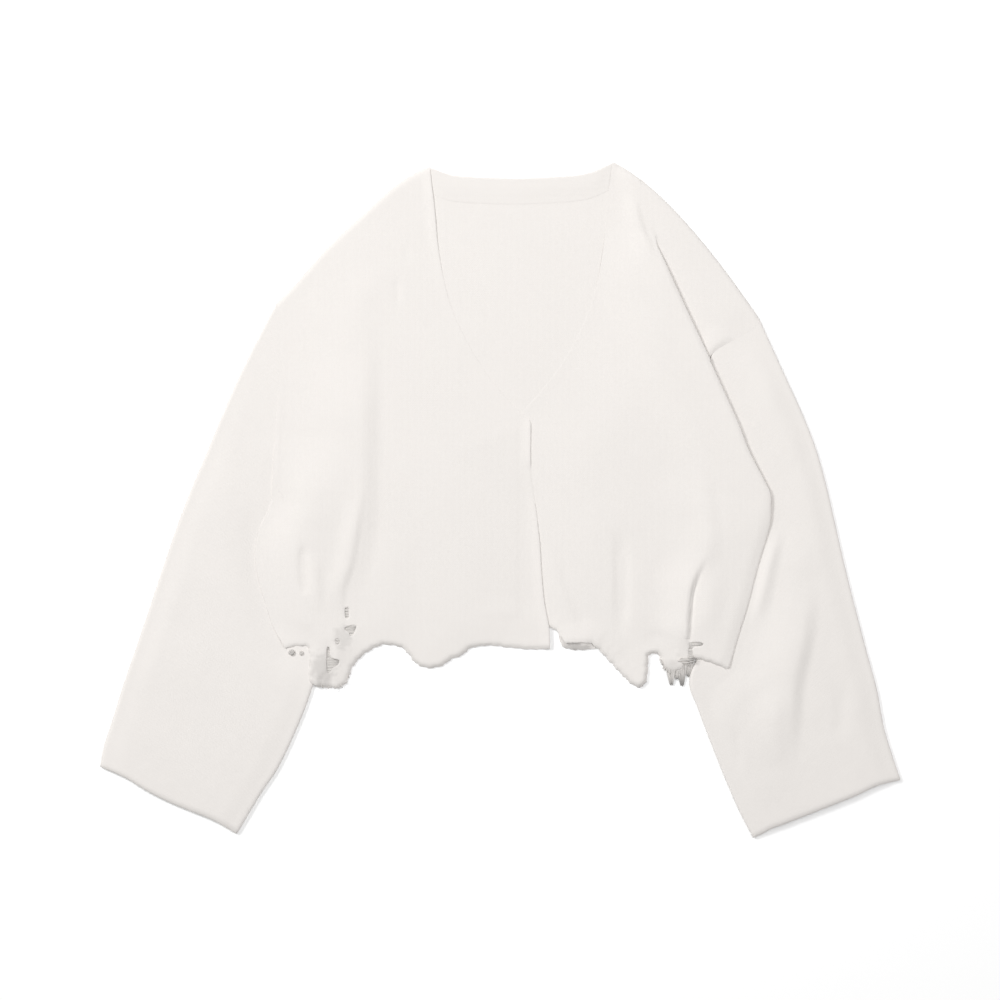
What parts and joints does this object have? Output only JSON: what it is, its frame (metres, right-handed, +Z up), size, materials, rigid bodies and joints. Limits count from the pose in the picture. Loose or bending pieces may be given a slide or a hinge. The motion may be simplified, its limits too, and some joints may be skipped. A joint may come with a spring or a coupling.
{
  "type": "distressed knit cardigan",
  "caption": "Cropped, oversized off-white knit cardigan with a V neck, wide dropped-shoulder sleeves and a torn hem, laid flat.",
  "frame": {"origin": "middle of the garment's outline, on the surface that it lies on", "axes": "+X towards the wearer's left sleeve, +Y towards the neck, +Z up out of the cloth"},
  "size_m": [0.8788, 0.7426, 0.0141],
  "materials": {
    "body_knit": "soft matt fine-gauge knit",
    "sleeve_knit": "soft matt fine-gauge knit",
    "band_knit": "soft matt knit band",
    "torn_yarn": "loose matt yarn"
  },
  "bodies": {
    "root": {"back": "body_knit", "back_neckband": "band_knit", "right_front": "body_knit", "left_front": "body_knit", "right_sleeve": "sleeve_knit", "left_sleeve": "sleeve_knit", "right_hem_strands": "torn_yarn", "left_hem_strands": "torn_yarn"}
  },
  "joints": []
}
